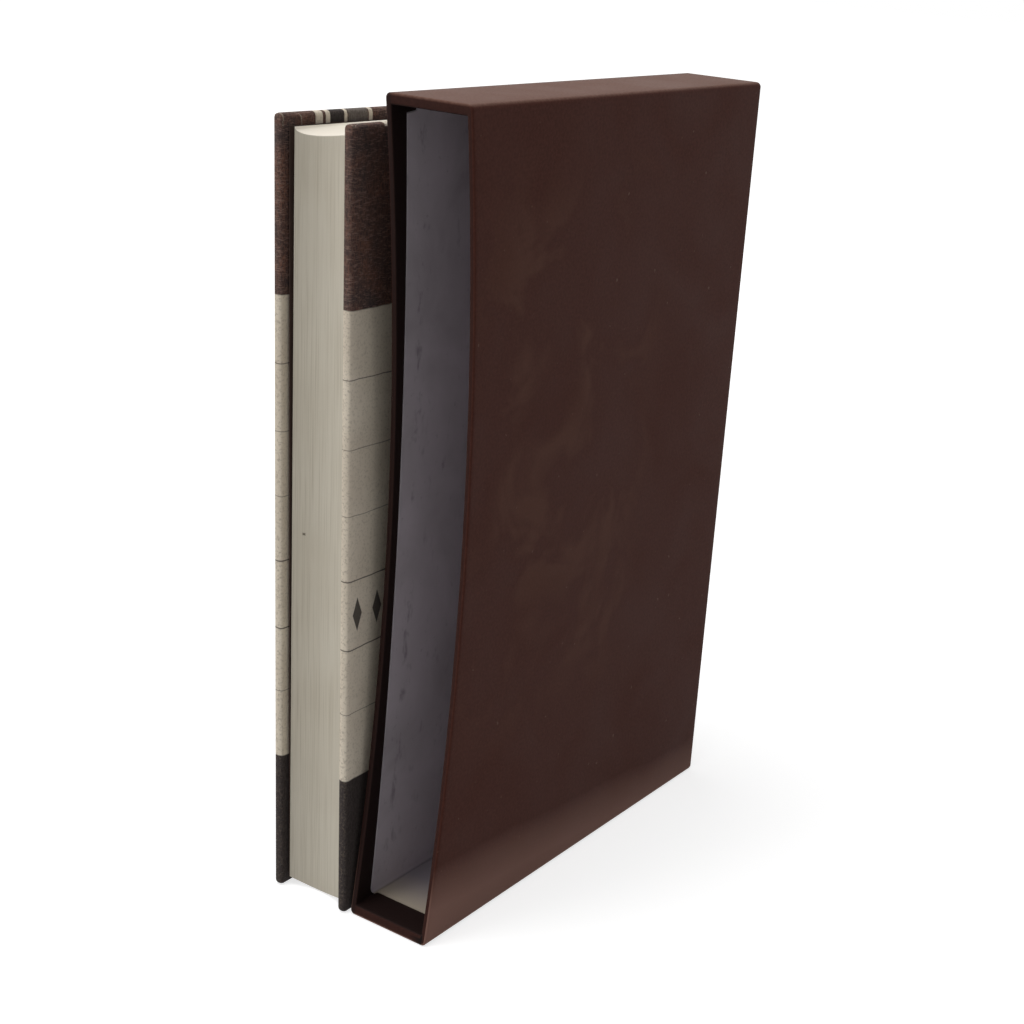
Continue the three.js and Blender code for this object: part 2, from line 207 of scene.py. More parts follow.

# Colours of the brown paper as they are seen, and where it is clouded, and where sheen from the
# floor, a highlight on top and shade are painted.
PAPER_DARK, PAPER_LIGHT = (60, 32, 25), (70, 39, 32)
PAPER_CLOUD = (94, 66, 55)
PAPER_FLECK = (112, 88, 78)
PAPER_FLOOR_SHEEN = (130, 98, 88)
TOP_HIGHLIGHT_DARK, TOP_HIGHLIGHT_LIGHT = (88, 62, 53), (104, 77, 67)
PAPER_SHADED = (24, 16, 15)
PAPER_CREASE_SHADE = (18, 11, 10)
CLOUD_DEEP, CLOUD_HEIGHT = -22 * MM, 145 * MM
CLOUD_DEEP_REACH, CLOUD_HEIGHT_REACH = (30 * MM, 55 * MM), (60 * MM, 95 * MM)
FLOOR_SHEEN_TO, NO_FLOOR_SHEEN_FROM = 13 * MM, 28 * MM
FLOOR_SHEEN_LESS_AT_BACK = 12 * MM
FLOOR_SHEEN_WAVER = 4 * MM
FLOOR_SHEEN_DEPTH = 70 * MM
TOP_FROM, TOP_TO = 249.2 * MM, 249.85 * MM
SHADED_TO, UNSHADED_FROM = -13.4 * MM, -12.2 * MM


def paint(red, green, blue):
    """A colour as it is seen, 0 to 255, as the linear colour that a shader takes."""
    seen_levels = np.array([red, green, blue]) / 255
    low = seen_levels / 12.92
    high = ((seen_levels + 0.055) / 1.055) ** 2.4
    return (*np.where(seen_levels < 0.04045, low, high).tolist(), 1.0)


def make_piece(name, points, faces, smooth_degrees=40):
    """An object at the origin whose mesh has these points, in metres, and these faces."""
    mesh = bpy.data.meshes.new(name)
    mesh.from_pydata(np.asarray(points).tolist(), [], [list(face) for face in faces])
    mesh.validate()
    mesh.shade_smooth()
    mesh.set_sharp_from_angle(angle=np.radians(smooth_degrees))
    piece = bpy.data.objects.new(name, mesh)
    bpy.context.collection.objects.link(piece)
    return piece


def mark_points(piece, name, values):
    """Keeps one number for each point of the mesh, for its material to read."""
    attribute = piece.data.attributes.new(name, "FLOAT", "POINT")
    attribute.data.foreach_set("value", np.asarray(values, np.float32))


def ring_faces(rings, around):
    """Quads between each ring of points and the next, with a flat face closing both ends."""
    start = np.arange(rings - 1)[:, None] * around
    here = np.arange(around)[None, :]
    after = (here + 1) % around
    quads = np.stack([start + here, start + after, start + around + after, start + around + here], -1)
    last = (rings - 1) * around
    return [*quads.reshape(-1, 4).tolist(), list(range(around))[::-1], list(range(last, last + around))]


def rounded_frame(half_width, half_height, radius):
    """A rectangle with round corners, as X and Z arrays: straight runs cut into equal steps and
    quarter circles between them, starting low on the right side and going up."""
    run_z = np.array([*np.linspace(-1, -CORNER_FROM, CORNER_RUN_STEPS)[:-1],
                      *np.linspace(-CORNER_FROM, CORNER_FROM, CASE_HEIGHT_STEPS)[:-1],
                      *np.linspace(CORNER_FROM, 1, CORNER_RUN_STEPS)[:-1]]) * (half_height - radius)
    run_x = np.linspace(1, -1, CASE_WIDTH_STEPS + 1)[:-1] * (half_width - radius)
    turn = np.linspace(0, np.pi / 2, CORNER_STEPS + 1)[:-1]
    cos, sin = radius * np.cos(turn), radius * np.sin(turn)
    across, above = half_width - radius, half_height - radius
    x = [np.full_like(run_z, half_width), across + cos, run_x, -across - sin,
         np.full_like(run_z, -half_width), -across - cos, -run_x, across + sin]
    z = [run_z, above + sin, np.full_like(run_x, half_height), above + cos,
         -run_z, -above - sin, np.full_like(run_x, -half_height), -above - cos]
    return np.concatenate(x), np.concatenate(z)


case_centre = (CASE_LOW + CASE_HIGH) / 2
case_half = (CASE_HIGH - CASE_LOW) / 2
inside_half_x = LINING_HIGH[0] + LINING_PASTE
inside_half_z = (LINING_HIGH[2] - LINING_LOW[2]) / 2 + LINING_PASTE


def mouth_arc(z, sagitta=MOUTH_SAGITTA):
    """Y at height z of a circular arc that starts at the mouth's foot, is deepest by the sagitta
    halfway up, and ends at the mouth's head."""
    radius = (case_half[2] ** 2 + sagitta ** 2) / (2 * sagitta)
    reach = np.clip(np.abs(z - case_centre[2]), 0, case_half[2])
    return CASE_LOW[1] + np.sqrt(radius ** 2 - reach ** 2) - (radius - sagitta)


def slipcase_rings():
    """The shell as rings from the middle of its back, over the outside to the rim of the mouth, and
    along the inside to the back again. The broad walls bow inwards by half a sine wave each way.
    Returns the points, and for each the share of the way over the rim, 0 outside and 1 inside."""
    points, inside = [], []

    def ring(inset, y_of, share_inside):
        radius = max(CASE_ROUND - inset, LEAST_ROUND)
        outer_x, outer_z = rounded_frame(case_half[0] - inset, case_half[2] - inset, radius)
        inner_x, inner_z = rounded_frame(inside_half_x, inside_half_z, INNER_ROUND)
        x = outer_x * (1 - share_inside) + inner_x * share_inside
        z = outer_z * (1 - share_inside) + inner_z * share_inside + case_centre[2]
        y = y_of(z)
        deep = np.clip((y - CASE_LOW[1]) / (CASE_HIGH[1] - CASE_LOW[1]), 0, 1)
        tall = np.clip((z - CASE_LOW[2]) / (2 * case_half[2]), 0, 1)
        bow = WALL_BOW * np.sin(np.pi * deep) * np.sin(np.pi * tall)
        x = x - np.sign(x) * bow * (np.abs(x) > inside_half_x - HAIR)
        points.append(np.column_stack([x, y, z]))
        inside.append(np.full(len(x), float(share_inside)))

    back = CASE_HIGH[1]
    ring(CASE_ROUND + BACK_FLAT_INSET, lambda z: np.full_like(z, back), 0)
    for angle in np.linspace(0, np.pi / 2, CORNER_STEPS + 1):
        ring(CASE_ROUND * (1 - np.sin(angle)),
             lambda z: np.full_like(z, back - CASE_ROUND * (1 - np.cos(angle))), 0)
    for share in OUTER_SHARES:
        ring(0, lambda z: (back - CASE_ROUND) * (1 - share) + (mouth_arc(z) + RIM_ROUND) * share, 0)
    for angle in np.linspace(0, np.pi / 2, CORNER_STEPS):
        ring(RIM_ROUND * (1 - np.cos(angle)),
             lambda z: mouth_arc(z) + RIM_ROUND * (1 - np.sin(angle)), 0)
    wall = case_half[0] - inside_half_x
    for share in (0.5, 1 - RIM_ROUND / wall):
        ring(RIM_ROUND, mouth_arc, share)
    for angle in np.linspace(np.pi / 10, np.pi / 2, CORNER_STEPS):
        ring(RIM_ROUND, lambda z: mouth_arc(z) + RIM_ROUND * (1 - np.cos(angle)),
             1 - RIM_ROUND / wall * (1 - np.sin(angle)))
    inner_back = back - BACK_WALL
    for share in INNER_SHARES:
        ring(0, lambda z: (mouth_arc(z) + RIM_ROUND) * (1 - share) + inner_back * share, 1)
    return np.array(points), np.concatenate(inside)


ring_points, inside_shares = slipcase_rings()
slipcase = make_piece("slipcase", ring_points.reshape(-1, 3), ring_faces(*ring_points.shape[:2]))
mark_points(slipcase, "inside", inside_shares)
flat_points = ring_points.reshape(-1, 3)
beside_wall = np.abs(flat_points[:, 0] - inside_half_x - CREASE_FROM_WALL) < CREASE_HALF_WIDTH
low_rim = (flat_points[:, 2] < CREASE_HIGH) & (flat_points[:, 1] < CASE_LOW[1] + RIM_ROUND)
mark_points(slipcase, "crease", beside_wall & low_rim)


class Recipe:
    """The nodes of one material. A method adds a node or two and returns the output. For a value it
    takes another output, a number, or a colour as seen, of three levels 0 to 255."""

    def __init__(self, name):
        self.material = bpy.data.materials.new(name)
        self.nodes, self.links, self.out = nodes_of(self.material)
        self.place = self.nodes.new("ShaderNodeTexCoord").outputs["Object"]

    def put(self, socket, value):
        """Gives a socket its value."""
        if isinstance(value, bpy.types.NodeSocket):
            self.links.new(value, socket)
        elif isinstance(value, tuple):
            socket.default_value = paint(*value)
        else:
            socket.default_value = value

    def place_parts(self):
        """The place on the object as its X, Y and Z."""
        node = self.nodes.new("ShaderNodeSeparateXYZ")
        self.put(node.inputs[0], self.place)
        return node.outputs

    def stretched(self, across, deep, high):
        """The place on the object with each axis scaled, so that a noise on it is drawn out."""
        node = self.nodes.new("ShaderNodeMapping")
        self.put(node.inputs["Vector"], self.place)
        node.inputs["Scale"].default_value = (across, deep, high)
        return node.outputs[0]

    def noise(self, scale, detail=3, rough=0.55, distort=0.0, vector=None):
        """A cloudy pattern, 0 to 1, with as many blotches to the metre as the scale says."""
        node = self.nodes.new("ShaderNodeTexNoise")
        self.put(node.inputs["Vector"], vector or self.place)
        node.inputs["Scale"].default_value = scale
        node.inputs["Detail"].default_value = detail
        node.inputs["Roughness"].default_value = rough
        node.inputs["Distortion"].default_value = distort
        return node.outputs["Fac"]

    def mark(self, name):
        """A number that mark_points kept on the mesh."""
        node = self.nodes.new("ShaderNodeAttribute")
        node.attribute_name = name
        return node.outputs["Fac"]

    def math(self, kind, first, second=0.0):
        """One sum of two numbers, or of the first alone."""
        node = self.nodes.new("ShaderNodeMath")
        node.operation = kind
        self.put(node.inputs[0], first)
        self.put(node.inputs[1], second)
        return node.outputs[0]

    def offset(self, value, middle):
        """How far a value is from the middle, either way."""
        return self.math("ABSOLUTE", self.math("SUBTRACT", value, middle))

    def level(self, value, low, high, to_low=0.0, to_high=1.0):
        """Goes evenly from to_low to to_high while the value goes from low to high, and stays there."""
        node = self.nodes.new("ShaderNodeMapRange")
        self.put(node.inputs["Value"], value)
        node.inputs["From Min"].default_value, node.inputs["From Max"].default_value = low, high
        node.inputs["To Min"].default_value, node.inputs["To Max"].default_value = to_low, to_high
        return node.outputs[0]

    def beside(self, value, middle, near, far, most=1.0):
        """The most while a value is within near of the middle, falling to 0 at far from it."""
        return self.level(self.offset(value, middle), near, far, most, 0)

    def mix(self, share, first, second):
        """The first colour, with a share of the second laid over it."""
        node = self.nodes.new("ShaderNodeMixRGB")
        self.put(node.inputs[0], share)
        self.put(node.inputs[1], first)
        self.put(node.inputs[2], second)
        return node.outputs[0]

    def shift(self, value, low, high, first, second, most=1.0):
        """The first colour at low, and at high the most of the second laid over it."""
        return self.mix(self.level(value, low, high, 0, most), first, second)

    def bump(self, height, distance, strength, under=None):
        """A normal that stands up where the height is great, on top of the normal under it."""
        node = self.nodes.new("ShaderNodeBump")
        self.put(node.inputs["Height"], height)
        node.inputs["Distance"].default_value = distance
        node.inputs["Strength"].default_value = strength
        if under:
            self.links.new(under, node.inputs["Normal"])
        return node.outputs[0]

    def surface(self, colour, roughness, normal, specular, sheen=0.0):
        """Sends the finished surface to the output and returns the material."""
        node = self.nodes.new("ShaderNodeBsdfPrincipled")
        self.put(node.inputs["Base Color"], colour)
        self.put(node.inputs["Roughness"], roughness)
        node.inputs["Specular IOR Level"].default_value = specular
        node.inputs["Sheen Weight"].default_value = sheen
        self.links.new(normal, node.inputs["Normal"])
        self.links.new(node.outputs[0], self.out.inputs[0])
        return self.material


def brown_paper():
    """Dark brown paper, nearly matt: finely grained, with faint paler clouds in the middle of the
    broad sides. Along the foot it is paler with painted sheen from the floor, most of all near the
    mouth. On top it is paler and redder with a painted highlight. Over the rims and where it turns
    in it is darkened with painted shade, near black inside, and more on the side beside the book."""
    recipe = Recipe("brown_paper")
    across, deep, height = recipe.place_parts()
    inside = recipe.mark("inside")
    cloud = recipe.noise(33, 3, 0.55, 0.5)
    island = recipe.noise(17, 2, 0.5, 0.8)
    grain = recipe.noise(1100, 2, 0.6)
    fleck = recipe.noise(420, 1, 0.5)

    middle = recipe.math("MULTIPLY", recipe.beside(deep, CLOUD_DEEP, *CLOUD_DEEP_REACH),
                         recipe.beside(height, CLOUD_HEIGHT, *CLOUD_HEIGHT_REACH))
    patch = recipe.math("MULTIPLY", recipe.level(cloud, 0.48, 0.57), recipe.level(island, 0.4, 0.52))
    patch = recipe.math("MULTIPLY", patch, middle)
    colour = recipe.shift(grain, 0.35, 0.7, PAPER_DARK, PAPER_LIGHT)
    colour = recipe.mix(recipe.math("MULTIPLY", patch, 0.38), colour, PAPER_CLOUD)
    colour = recipe.shift(fleck, 0.76, 0.8, colour, PAPER_FLECK, 0.4)

    # Painted sheen from the floor: paler along the foot, most near the mouth and less towards the back.
    less = recipe.level(deep, -FLOOR_SHEEN_DEPTH, FLOOR_SHEEN_DEPTH, 0, FLOOR_SHEEN_LESS_AT_BACK)
    rub_and_sheen = recipe.math("ADD", height, less)
    rub_and_sheen = recipe.math("ADD", rub_and_sheen, recipe.level(island, 0.2, 0.8, 0, FLOOR_SHEEN_WAVER))
    rub_and_sheen = recipe.level(rub_and_sheen, FLOOR_SHEEN_TO, NO_FLOOR_SHEEN_FROM, 0.85, 0)
    rub_and_sheen = recipe.math("MULTIPLY", rub_and_sheen, recipe.level(inside, 0, 0.05, 1, 0))
    colour = recipe.mix(rub_and_sheen, colour, PAPER_FLOOR_SHEEN)

    # Painted highlight: the top face is paler and redder, as if lit from above.
    top = recipe.shift(grain, 0.35, 0.7, TOP_HIGHLIGHT_DARK, TOP_HIGHLIGHT_LIGHT)
    colour = recipe.shift(height, TOP_FROM, TOP_TO, colour, top)
    # Painted shade: darker over the rims, darker still on the side beside the book, near black inside.
    colour = recipe.shift(inside, 0.0, 0.12, colour, PAPER_SHADED, 0.45)
    colour = recipe.mix(recipe.level(across, SHADED_TO, UNSHADED_FROM, 0.7, 0), colour, PAPER_SHADED)
    colour = recipe.shift(inside, 0.82, 0.98, colour, PAPER_SHADED, 0.9)
    # Painted shade in the crease at the foot of the mouth.
    colour = recipe.mix(recipe.mark("crease"), colour, PAPER_CREASE_SHADE)
    normal = recipe.bump(grain, 0.04 * MM, 0.5)
    normal = recipe.bump(cloud, 0.4 * MM, 0.2, normal)
    return recipe.surface(colour, recipe.level(cloud, 0.3, 0.7, 0.55, 0.65), normal, specular=0.06)


slipcase.data.materials.append(brown_paper())
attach(slipcase, "slipcase")
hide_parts("slipcase_shell")

# Slipcase lining: thin white paper pasted to the inner walls, cut short of the mouth in an arc of
# its own, with round corners at the floor and a notch at the ceiling. It is smudged and rubbed
# where the book slides in and out.
LINING_THICK = 0.3 * MM
LINING_SETBACK = 6.8 * MM
LINING_SAGITTA = 5.3 * MM
LINING_FLOOR_SETBACK = 10.5 * MM
NOTCH_HIGH = 2.2 * MM
NOTCH_DEEP = 4 * MM
LINING_WALL_REACH = 1.2 * LINING_THICK
LINING_DEPTH_STEPS = 24

# Colours of the lining as they are seen, and where it is rubbed and folded, and where shade is
# painted on its floor.
LINING_LIGHT, LINING_DIM = (184, 176, 182), (164, 157, 161)
LINING_RUBBED = (92, 86, 90)
LINING_SMUDGE = (120, 114, 118)
LINING_FLECK = (120, 114, 116)
LINING_FLOOR_LIT, LINING_FLOOR_SHADED = (158, 147, 132), (132, 125, 131)
LINING_FOLD = (196, 190, 196)
RUBBED_LINE_BEHIND = 6.5 * MM
FLOOR_TO, WALL_FROM = 3.8 * MM, 4.6 * MM
FOLD_HEIGHT = 4.7 * MM
FLOOR_LIT_TO, FLOOR_SHADED_FROM = 1 * MM, 16 * MM


def lining_front(x, z):
    """Y of the lining's front edge: an arc along the broad walls, which turns in a quarter circle
    to the straight edge of the floor; the upper corners are cut back."""
    half_height = (LINING_HIGH[2] - LINING_LOW[2]) / 2
    from_end = half_height - np.abs(z - case_centre[2])
    wall = mouth_arc(z, LINING_SAGITTA) + LINING_SETBACK
    floor_edge = CASE_LOW[1] + LINING_FLOOR_SETBACK
    corner = np.maximum(floor_edge - wall, LINING_THICK)
    turning = np.where(z < case_centre[2], np.clip(1 - from_end / corner, 0, 1), 0)
    front = wall + corner * (1 - np.sqrt(1 - turning ** 2))
    on_wall = np.abs(x) > LINING_HIGH[0] - LINING_WALL_REACH
    front = np.where(on_wall, front, floor_edge)
    notched = (from_end < NOTCH_HIGH) & (z > case_centre[2]) & on_wall
    return np.where(notched, wall + NOTCH_DEEP, front)


def lining_rings():
    """The lining as rings from its back over the outside to the front edge and back along the
    inside. Returns the points and how far each lies behind the front edge."""
    half_x, half_z = LINING_HIGH[0], (LINING_HIGH[2] - LINING_LOW[2]) / 2
    points, behind = [], []
    shares = np.linspace(0, 1, LINING_DEPTH_STEPS)
    for inset, order in ((0, shares), (LINING_THICK, shares[::-1])):
        x, z = rounded_frame(half_x - inset, half_z - inset, LINING_THICK)
        z = z + case_centre[2]
        front = lining_front(x, z)
        for share in order:
            y = (LINING_HIGH[1] - inset) * (1 - share) + front * share
            points.append(np.column_stack([x, y, z]))
            behind.append(y - front)
    return np.array(points), np.concatenate(behind)


def lining_paper():
    """White paper greyed with painted shade: cloudy, with rubbed dark marks in a line just behind
    the front edge, painted shade on the floor that deepens further in, and a pale line where it
    is folded up from the floor."""
    recipe = Recipe("lining_paper")
    _, _, height = recipe.place_parts()
    behind = recipe.mark("behind")
    cloud = recipe.noise(30, 4, 0.6, 0.4)
    streak = recipe.noise(280, 3, 0.6, 0.2, recipe.stretched(1, 1, 0.45))
    fleck = recipe.noise(500, 2, 0.5)
    # The white paper is greyed with painted shade, deep in the case.
    colour = recipe.shift(cloud, 0.35, 0.7, LINING_LIGHT, LINING_DIM)
    rub_and_sheen = recipe.math("MULTIPLY", recipe.level(streak, 0.54, 0.66, 0, 0.4),
                         recipe.beside(behind, RUBBED_LINE_BEHIND, 0.8 * MM, 2.6 * MM))
    colour = recipe.mix(rub_and_sheen, colour, LINING_RUBBED)
    colour = recipe.shift(streak, 0.62, 0.74, colour, LINING_SMUDGE, 0.3)
    colour = recipe.shift(fleck, 0.68, 0.78, colour, LINING_FLECK, 0.3)
    # Painted shade on the floor: lighter and warmer at the front, darker and cooler further in.
    on_floor = recipe.shift(behind, FLOOR_LIT_TO, FLOOR_SHADED_FROM, LINING_FLOOR_LIT, LINING_FLOOR_SHADED)
    colour = recipe.mix(recipe.level(height, FLOOR_TO, WALL_FROM, 1, 0), colour, on_floor)
    folded = recipe.beside(height, FOLD_HEIGHT, 0.3 * MM, 1.2 * MM, 0.45)
    colour = recipe.mix(folded, colour, LINING_FOLD)
    return recipe.surface(colour, 0.85, recipe.bump(fleck, 0.03 * MM, 0.4), specular=0.1)


ring_points, behind_front = lining_rings()
lining_faces = ring_faces(*ring_points.shape[:2])
lining = make_piece("slipcase_paper_lining", ring_points.reshape(-1, 3), lining_faces, 30)
mark_points(lining, "behind", behind_front)
lining.data.materials.append(lining_paper())
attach(lining, "slipcase")
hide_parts("slipcase_lining")

# Boards: stiff grey board wrapped in the printed covering, which turns over all the edges. The
# two are alike but for side. The book is square at its hinges and spreads and leans towards
# the fore edge, so the boards are faintly twisted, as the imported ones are.
BOARD_ROUND = 1.3 * MM
BOARD_STEPS = (8, 48, 72)
HINGE_FROM_BOARD = 6.5 * MM
STAND_TURN = np.radians(1.14)
FORE_SPLAY = 2.0 * MM
FORE_LEAN = np.tan(np.radians(2.1))
BLOCK_THICK = 16.4 * MM
BOARD_THICK = 3.2 * MM
BOARD_LENGTH = 143 * MM
BOARD_HEIGHT = 240 * MM
LEAF_STACK = 1.0 * MM
STAND_GAP = 0.7 * MM
STAND_FORWARD = 1.6 * MM
EDGE_WORN_REACH = 1.2 * MM
half_block = BLOCK_THICK / 2
half_inside = half_block + LEAF_STACK
half_book = half_inside + BOARD_THICK
hinge_y = BOARD_LENGTH + HINGE_FROM_BOARD

# The print. Its fields lie one above the other. Each rule has a height and half a width, in
# millimetres, and a strength of ink. The head fields lie along the boards' upper edges, and each
# starts and stops so many millimetres from the fore edge.
BROWN_FROM = 188.5 * MM
SLATE_TO = 44.5 * MM
FIELD_BLUR = 0.2 * MM
PRINT_WAVER = 1.2 * MM
RULES = ((168.5, 0.16, 0.7), (148, 0.14, 0.55), (128, 0.14, 0.5), (108, 0.2, 0.8),
         (86.5, 0.2, 0.8), (66, 0.14, 0.55))
LOZENGE_PITCH = 9 * MM
LOZENGES = 15
LOZENGE_HEIGHT = 97.2 * MM
LOZENGE_TALL = 5.5 * MM
LOZENGE_SLENDER = 4.2
OUTER_FACE_TO, OUTER_FACE_END = 1.4 * MM, 1.8 * MM
HEAD_FIELDS = ((13.5, 16.4, "cream"), (17.6, 19.4, "cream"), (19.4, 25, "slate"), (25.2, 26.4, "cream"),
               (26.8, 35, "stone"), (35.4, 37, "cream"), (60, 76, "slate"), (76.4, 78, "cream"),
               (104, 118, "stone"), (118.4, 120, "cream"))
HEAD_BLUR = 0.2 * MM
HEAD_BELOW, HEAD_ABOVE = 1.1 * MM, 0.9 * MM
TURN_IN = 2.5 * MM
TURN_IN_FROM, TURN_IN_TO = 1.4 * MM, 2.2 * MM
MITRE_SLOPE = 2.2
MITRE_START = 1.0 * MM

# Colours of the covering as they are seen.
BROWN_COOL, BROWN_WARM = (68, 55, 52), (108, 74, 61)
BROWN_DARK_THREAD, BROWN_PALE_THREAD = (44, 36, 36), (142, 114, 104)
CREAM_LIGHT, CREAM_DIM, CREAM_FLECK = (219, 208, 190), (206, 194, 176), (150, 138, 122)
SLATE_LIGHT, SLATE_DARK, SLATE_THREAD = (55, 48, 46), (39, 32, 30), (96, 94, 99)
STONE_LIGHT, STONE_DARK = (112, 104, 97), (88, 80, 75)
INK = (44, 36, 34)
MITRE_PALE = (176, 164, 148)
EDGE_WORN = (130, 114, 100)
INNER_LIGHT, INNER_DARK = (74, 57, 51), (60, 46, 41)


def box_grid(steps):
    """The surface of a unit cube cut into squares: the points as shares 0 to 1 along its three
    edges, and quads that face outwards."""
    counts = np.array(steps)
    corners = []
    for axis in range(3):
        one, two = (axis + 1) % 3, (axis + 2) % 3
        first, second = np.meshgrid(np.arange(counts[one]), np.arange(counts[two]), indexing="ij")
        for end in (0, 1):
            square = [(0, 0), (1, 0), (1, 1), (0, 1)]
            if end == 0:
                square = square[::-1]
            quad = np.zeros((first.size, 4, 3), int)
            for corner, (step_one, step_two) in enumerate(square):
                quad[:, corner, axis] = end * counts[axis]
                quad[:, corner, one] = first.ravel() + step_one
                quad[:, corner, two] = second.ravel() + step_two
            corners.append(quad)
    corners = np.concatenate(corners)
    points, index = np.unique(corners.reshape(-1, 3), axis=0, return_inverse=True)
    return points / counts, index.reshape(-1, 4)


def stand(points):
    """From the closed book to the standing one. Seen from above, leaves spread by up to the splay
    towards the fore edge; they lean to -X in step with height; then the book is turned a
    little and set down beside the slipcase by the front corner of its back board."""
    x, y, z = np.asarray(points).T
    share = np.clip(1 - y / hinge_y, 0, 1)
    x = x + (FORE_SPLAY * np.clip(x / half_block, -1, 1) - FORE_LEAN * z) * share
    corner = np.array([half_book + FORE_SPLAY, 0])
    turn = np.array([[np.cos(STAND_TURN), -np.sin(STAND_TURN)], [np.sin(STAND_TURN), np.cos(STAND_TURN)]])
    goal = np.array([CASE_LOW[0] - STAND_GAP, CASE_LOW[1] - STAND_FORWARD])
    flat = turn @ (np.stack([x, y]) - corner[:, None]) + goal[:, None]
    return np.column_stack([*flat, z])


def spread_edges(shares, length, radius, steps):
    """Turns even shares into lengths, so that the outer two steps at each end lie on the round edge,
    an eighth of a circle each, and the rest are even between them."""
    step = np.round(shares * steps)
    first = radius * (1 - np.cos(step / 2 * np.pi / 2))
    last = length - radius * (1 - np.cos((steps - step) / 2 * np.pi / 2))
    middle = radius + (step - 2) / (steps - 4) * (length - 2 * radius)
    return np.where(step < 2, first, np.where(step > steps - 2, last, middle))


def board_points(low, size, shares):
    """A slab with round edges: each point is pulled to the slab's core and pushed out again by the
    edge radius, straight away from the core."""
    spread = np.column_stack([spread_edges(shares[:, axis], size[axis], BOARD_ROUND, BOARD_STEPS[axis])
                              for axis in range(3)])
    core = np.clip(spread, BOARD_ROUND, size - BOARD_ROUND)
    out = spread - core
    length = np.linalg.norm(out, axis=1, keepdims=True)
    out = np.where(length > 0, out / np.where(length > 0, length, 1) * BOARD_ROUND, 0)
    return core + out + low


